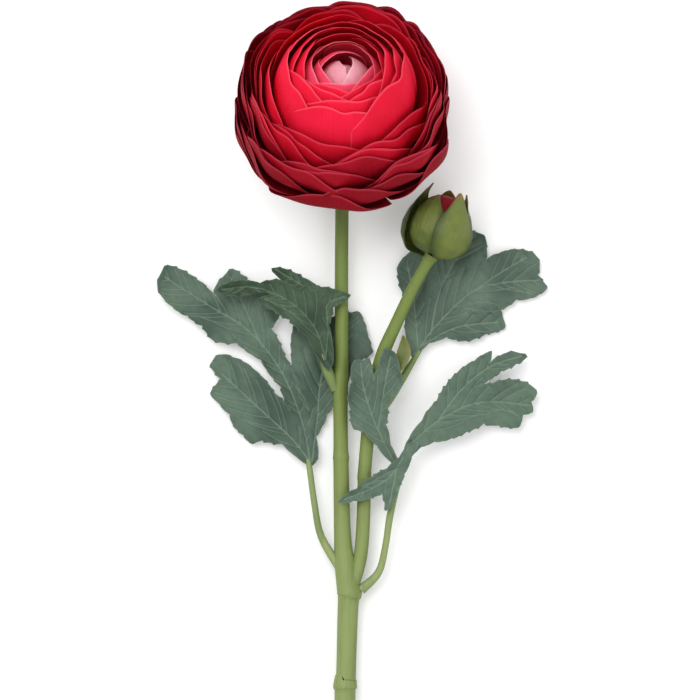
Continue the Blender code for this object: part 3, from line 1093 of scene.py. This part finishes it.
    def make(self, name: str, thickness: float = 0.45) -> bpy.types.Object:
        """Meshes the blade, folds it along its ribs, and marks its veins.

        Args:
            name: The piece's name.
            thickness: The blade's thickness in millimetres.

        Returns:
            The blade, with "vein" and "rim" attributes.
        """
        flat: list[Point2] = list(self.edge)
        edges = [(i, (i + 1) % len(flat)) for i in range(len(flat))]
        for line in (*self.ribs, *self.veins):
            kept = [p for p in line if self._inside(*p)]
            edges += [(len(flat) + i, len(flat) + i + 1) for i in range(len(kept) - 1)]
            flat += kept
        taken = np.array(flat)
        low, high = taken.min(axis=0), taken.max(axis=0)
        columns = int((high[0] - low[0]) / self.spacing)
        rows = int((high[1] - low[1]) / (self.spacing * 0.87))
        for j in range(rows + 1):
            for i in range(columns + 1):
                x = low[0] + (i + 0.5 * (j % 2)) * self.spacing
                y = low[1] + j * self.spacing * 0.87
                if np.min((taken[:, 0] - x) ** 2 + (taken[:, 1] - y) ** 2) > 0.3 and self._inside(x, y):
                    flat.append((x, y))
        points, _, faces = delaunay_2d_cdt([Vector(p) for p in flat], edges, [], 1, 1e-4)[:3]
        used = sorted({i for face in faces for i in face})
        index = {old: new for new, old in enumerate(used)}
        mesh = bpy.data.meshes.new(name)
        corners = [(*points[i], 0.0) for i in used]
        mesh.from_pydata(corners, [], [tuple(index[i] for i in face) for face in faces])
        piece = bpy.data.objects.new(name, mesh)
        bpy.context.scene.collection.objects.link(piece)
        apply_modifier(piece, "SUBSURF", subdivision_type="SIMPLE", levels=1, render_levels=1)
        mesh = piece.data
        spots = np.array([vertex.co[:2] for vertex in mesh.vertices])
        from_rib, from_vein = self._distance(spots, self.ribs), self._distance(spots, self.veins)
        from_edge = self._distance(spots, [self.edge + self.edge[:1]])
        height = self._heights(spots) + self.blade.fold * np.minimum(from_rib, 7.0) / 7.0
        x, y = spots[:, 0], spots[:, 1]
        height += 0.7 * np.sin(0.31 * x + 0.5) * np.cos(0.27 * y) * np.minimum(from_rib / 5, 1)
        height += 0.25 * np.minimum(from_vein, 1.5)
        height += 0.5 * np.sin(1.1 * x + 0.9 * y) * np.exp(-from_edge / 1.5)
        height = np.maximum(height, self.lowest)
        mesh.vertices.foreach_set("co", (np.column_stack([spots, height]) * MM).ravel())
        vein = 0.85 * np.clip(1 - from_vein / self.vein_reach, 0, 1)
        vein = np.maximum(vein, np.clip(1 - from_rib / self.rib_reach, 0, 1))
        rim = np.clip(1 - from_edge / self.rim_reach, 0, 1)
        for key, amounts in (("vein", vein), ("rim", rim)):
            layer = mesh.attributes.new(key, "FLOAT", "POINT")
            layer.data.foreach_set("value", amounts.astype(np.float32))
        thicken(piece, thickness, 0)
        return piece


@dataclass
class Leaf:
    """A leaf: its stalk and its blades."""

    node: str
    stalk: Route
    blades: Sequence[Blade]
    finish: LeafFinish

    def build(self) -> list[bpy.types.Object]:
        """Builds and dresses the leaf.

        Returns:
            The leaf, as its stalk and its blades.
        """
        stalk = tube(f"{self.node}_stalk", smooth_route(self.stalk, 5), 16)
        made = [dress(stalk, STALK_SKIN.make(), [self.node])]
        skin = self.finish.make()
        for number, blade in enumerate(self.blades):
            piece = BladeMaker(blade).make(f"{self.node}_blade_{number + 1}")
            made.append(dress(piece, skin))
        return made


STALK_SKIN = StemFinish("stalk_skin", (0.200, 0.270, 0.090), (0.290, 0.350, 0.140), (0.12, 0.18, 0.06))

LEFT_LEAF = Leaf(
    "leaf_left",
    (
        (-5.2, -78, 5.6, 2), (-12.4, -66, 5.6, 1.45), (-15.2, -52, 5.4, 1.3), (-17, -39, 4.4, 1.2),
        (-18.4, -33, 3.2, 0.9), (-20, -27, 2.2, 0.5),
    ),
    (
        Blade(
            (
                (-16.2, -38), (-22.4, -34), (-28, -29), (-36, -27.5), (-41, -28.5), (-43.5, -25.5),
                (-48, -21), (-49, -17), (-53, -13), (-57, -8.5), (-52.6, -3), (-57, 3), (-53.5, 7),
                (-48, 6), (-40, 1.5), (-31, -8.5), (-25, -15.5), (-28.5, -6), (-36.5, 5), (-46, 11.5),
                (-55.5, 12.5), (-60, 18.5), (-66, 22.5), (-72, 26), (-78, 33), (-77.6, 38), (-74, 43),
                (-62, 37), (-52, 26.5), (-55.5, 33), (-52, 38), (-48, 41.5), (-42, 37), (-33, 31),
                (-28.5, 24.5), (-32.5, 17.5), (-27, 6), (-21, -8), (-17.6, -15.5), (-22, -5), (-24.3, 8),
                (-23, 20), (-8, 22), (3, 24), (6.4, 14), (8.2, 7.5), (1.5, 4), (-5, -8), (-10, -17),
                (-14.5, -26), (-13.6, -35),
            ),
            (
                (-16, -37, 4.2), (-36, -18, 2.2), (-56, 0, 1), (-27, -8, 3.6), (-45, 20, 4.4),
                (-76, 34, 5), (-52, 38, 3.2), (-20, 0, 1.8), (-4.2, 10, 0.6), (7, 12, 0.8),
                (-10, -18, 1.6),
            ),
            (
                ((-16.6, -36.5), (-24, -27), (-38, -14), (-52, -1)),
                ((-16.6, -36.5), (-21, -17), (-29.5, 2), (-42, 17), (-58, 27), (-75, 38)),
                ((-36, 10), (-42, 23), (-49, 38)),
                ((-16, -36), (-14, -18), (-12, 0), (-5, 20)),
            ),
            (-17, -37),
        ),
    ),
    LeafFinish("leaf_left_skin"),
)

UPPER_LEAF = Leaf(
    "leaf_upper",
    (
        (-6.6, -7, 7.2, 1.9), (-9.6, 0, 9.2, 2.1), (-12, 7, 10.2, 1.6), (-15, 13.5, 10.6, 1),
        (-18, 20, 10.8, 0.4),
    ),
    (
        Blade(
            (
                (-9.4, 0.4), (-12.4, 4), (-18, 14.5), (-25, 21), (-31, 24.5), (-38, 29), (-29.5, 31.5),
                (-38, 32.5), (-46.5, 30.4), (-54.8, 32.8), (-47, 36.5), (-37, 35.6), (-29.5, 37),
                (-22, 33.3), (-12.5, 34), (-0.5, 30.6), (-7.5, 26), (-9.4, 19), (-7.8, 11), (-7.6, 3),
            ),
            (
                (-14, 7, 10.8), (-7.4, 8, 11.6), (-20, 28, 14), (-38, 28, 12), (-54, 32, 10.5),
                (-1, 30, 12.6),
            ),
            (
                ((-10.5, 5), (-15, 18), (-26, 29), (-40, 34), (-52, 33)),
                ((-10.5, 5), (-9.6, 18), (-10, 27), (-3, 30.4)),
            ),
            (-10.5, 4.5),
            2.4,
        ),
        Blade(
            (
                (-16, 28.5), (-24, 34), (-28.5, 37), (-32.2, 41.6), (-28, 41.6), (-20, 38), (-14, 34.6),
                (-11, 31),
            ),
            ((-15, 28, 14.6), (-31, 41, 10.4)),
            (((-13.5, 30), (-22, 36), (-31, 41.2)),),
            (-13.5, 29),
        ),
    ),
    # Darker than the other leaves, partly by its underside's own colour and partly as painted shade.
    LeafFinish(
        "leaf_upper_skin", (0.024, 0.050, 0.027), (0.062, 0.108, 0.060), (0.150, 0.215, 0.140), 0.55
    ),
)

RIGHT_LEAF = Leaf(
    "leaf_right",
    (
        (9.6, -18, 8, 1.8), (15, -11, 7, 1.7), (20, -3, 5.8, 1.6), (24.6, 4.5, 4.4, 1.2),
        (30, 13, 3.2, 0.5),
    ),
    (
        Blade(
            (
                (24.4, 5), (21.6, 15), (22.4, 28), (19, 36), (18.4, 42.5), (21.5, 46.5), (26, 49.5),
                (33, 51), (42, 55.5), (50, 56.2), (53.5, 54), (53.8, 45), (59, 47.6), (66, 49.3),
                (73, 47.8), (75.4, 44), (74.6, 39), (78.4, 33.4), (72, 29.6), (66, 29), (60, 25),
                (52, 24.8), (44.5, 26.2), (52, 27.8), (58.5, 26.9), (60.5, 22.5), (61.5, 17.5), (54, 15.4),
                (46, 12.5), (38, 14), (31, 11.6), (27, 8),
            ),
            (
                (25, 6, 4), (22, 40, 1), (34, 40, 1.2), (48, 52, 1.8), (46, 26, 3), (77, 36, 0.8),
                (60, 18, 0.8),
            ),
            (
                ((25, 7), (36, 21), (52, 34), (75, 37)),
                ((31.5, 15), (36, 34), (47, 53)),
                ((28, 10.5), (42, 18), (59, 20)),
                ((26.5, 9), (25, 28), (22, 44)),
                ((48, 32), (60, 40), (70, 46)),
            ),
            (25, 6),
            1.2,
        ),
    ),
    LeafFinish("leaf_right_skin", (0.062, 0.100, 0.072), (0.122, 0.182, 0.132)),
)

LOWER_LEAF = Leaf(
    "leaf_lower",
    (
        (3.6, -87.4, 5.6, 2.1), (10.6, -80.5, 6, 1.55), (13.4, -70, 6.8, 1.35), (15.2, -58, 8, 1.4),
        (18.6, -43, 9.8, 1.5), (22, -35, 9.8, 1.2), (25, -29, 8.6, 0.5),
    ),
    (
        Blade(
            (
                (22.8, -26.5), (28, -19.5), (34, -11.5), (37.5, -5.5), (42, -0.5), (49, 4.4), (56, 8.4),
                (55.2, 3.8), (59.5, 6.6), (65, 8.2), (70.4, 6), (66, 3.2), (60, 0.5), (54.6, -3.4),
                (49.2, -6.2), (56, -4.6), (64, -3), (71, -4.8), (74.4, -8.4), (72, -12), (72.6, -16.2),
                (68.8, -17.2), (66.8, -22.4), (59, -21.6), (53, -20.6), (46, -24), (40, -26.6), (33, -28),
                (27.6, -30.2), (23, -34), (20.4, -35), (20.6, -31.5),
            ),
            (
                (23.5, -29, 10.2), (40, -12, 8.4), (56, 6, 7.6), (74, -10, 4), (66, -22, 3),
                (42, -25, 6.6),
            ),
            (
                ((23.6, -28.6), (36, -18.5), (52, -12), (72, -13.5)),
                ((34, -20), (44, -7), (56, 2.5), (68, 6.4)),
            ),
            (23.5, -28.5),
        ),
        Blade(
            (
                (24.6, -27), (20.4, -31.6), (19, -34), (14, -38.6), (8.4, -41.8), (2, -46.6), (-2.2, -49),
                (-5.6, -52.4), (0.6, -51.6), (6, -50.8), (12, -48.6), (13, -52), (13.6, -55.6),
                (16.4, -53), (18, -47), (21, -41), (24, -34), (27, -29),
            ),
            ((22, -32, 10.6), (16, -44, 11.2), (4, -46, 12.4), (-4, -53, 11.8)),
            (((22, -31), (14, -43), (-3, -51)), ((18, -38.5), (16.4, -46), (15, -53))),
            (22.5, -30),
        ),
        Blade(
            (
                (15.6, -36), (10, -29.5), (5.4, -24.4), (0, -21.6), (-0.6, -15), (-1.4, -9), (0, -4),
                (-0.6, -1), (1, 4.8), (4, 4.6), (7, 5.4), (8.4, -3.6), (11, 3), (13.4, 9.6), (17.6, 7),
                (19, 1), (20.2, -5.4), (16.6, -9.4), (14.2, -13), (13.6, -21), (15.4, -29), (18.4, -36),
                (19.6, -40),
            ),
            (
                (16.6, -35, 10.2), (12, -22, 13), (2, -10, 13.2), (6, -16, 13.8), (16, 4, 14.4),
            ),
            (((16.4, -35), (9, -20), (4.6, -6), (3.6, 3.6)), ((10.5, -23), (12.6, -8), (15.4, 6))),
            (16.4, -35),
            1.8,
        ),
    ),
    LeafFinish("leaf_lower_skin", (0.050, 0.088, 0.060), (0.110, 0.168, 0.120)),
)


# ------------------------------------------------------------------ studio


@dataclass
class Studio:
    """A pale floor, soft lamps above, and a camera that looks straight down."""

    middle: Point2 = (-0.8, 8.8)
    view_width: float = 280.0
    reference_height: float = 14.0
    lens: float = 320.0
    sensor: float = 36.0
    floor_size: float = 24.0
    floor_grey: float = 0.86
    floor_glow: float = 0.22
    sky_strength: float = 0.55
    # name, place and size in metres, watts
    lamp_rows: Sequence[tuple[str, tuple[float, float, float], float, float]] = (
        ("key_lamp", (-0.7, 0.9, 1.9), 1.6, 34.0),
        ("fill_lamp", (1.3, -0.5, 1.6), 1.8, 12.0),
    )

    def floor(self) -> None:
        """Adds the floor, which shows white and keeps the shadow."""
        deselect_all()
        bpy.ops.mesh.primitive_plane_add(size=self.floor_size)
        floor = bpy.context.object
        floor.name = "floor"
        graph = Graph("floor_paint")
        seen = graph.add("ShaderNodeLightPath", {}, {}, "Is Camera Ray")
        paint = {
            "Base Color": (self.floor_grey,) * 3,
            "Roughness": 0.9,
            "Specular IOR Level": 0.0,
            "Emission Color": (1.0, 1.0, 1.0),
            "Emission Strength": seen * self.floor_glow,
        }
        graph.feed(graph.shader, paint)
        floor.data.materials.append(graph.material)

    def lamps(self) -> None:
        """Adds a broad key lamp, a fill lamp and an even sky."""
        for name, place, size, power in self.lamp_rows:
            lamp = bpy.data.lights.new(name, "AREA")
            lamp.size = size
            lamp.energy = power
            holder = bpy.data.objects.new(name, lamp)
            holder.location = place
            holder.rotation_euler = (-Vector(place)).to_track_quat("-Z", "Y").to_euler()
            bpy.context.scene.collection.objects.link(holder)
        world = bpy.data.worlds.new("sky")
        world.use_nodes = True
        light = world.node_tree.nodes["Background"]
        light.inputs["Color"].default_value = (1.0, 1.0, 1.0, 1.0)
        light.inputs["Strength"].default_value = self.sky_strength
        bpy.context.scene.world = world

    def camera(self) -> None:
        """Adds the camera, straight above the middle of the view."""
        camera = bpy.data.cameras.new("camera")
        camera.lens = self.lens
        camera.sensor_width = self.sensor
        distance = self.view_width * self.lens / self.sensor
        camera.clip_end = 100.0
        holder = bpy.data.objects.new("camera", camera)
        holder.location = Vector((*self.middle, self.reference_height + distance)) * MM
        bpy.context.scene.collection.objects.link(holder)
        bpy.context.scene.camera = holder

    def build(self) -> None:
        """Sets up floor, lamps, camera and colour view."""
        self.floor()
        self.lamps()
        self.camera()
        bpy.context.scene.view_settings.view_transform = "Standard"


def write_sizes() -> None:
    """Updates the view layer."""
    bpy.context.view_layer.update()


def main() -> None:
    """Builds the studio and every part of the plant, in order."""
    logging.basicConfig(level=logging.INFO, format="%(name)s: %(message)s")
    Studio().build()
    head = FlowerHead()
    parts = (Stems(), head, Calyx(head), Bud(), LEFT_LEAF, UPPER_LEAF, RIGHT_LEAF, LOWER_LEAF)
    for part in parts:
        made = part.build()
        for piece in made:
            LOG.info("%s: %s, %d faces", type(part).__name__, piece.name, len(piece.data.polygons))
    write_sizes()


if __name__ == "__main__":
    main()
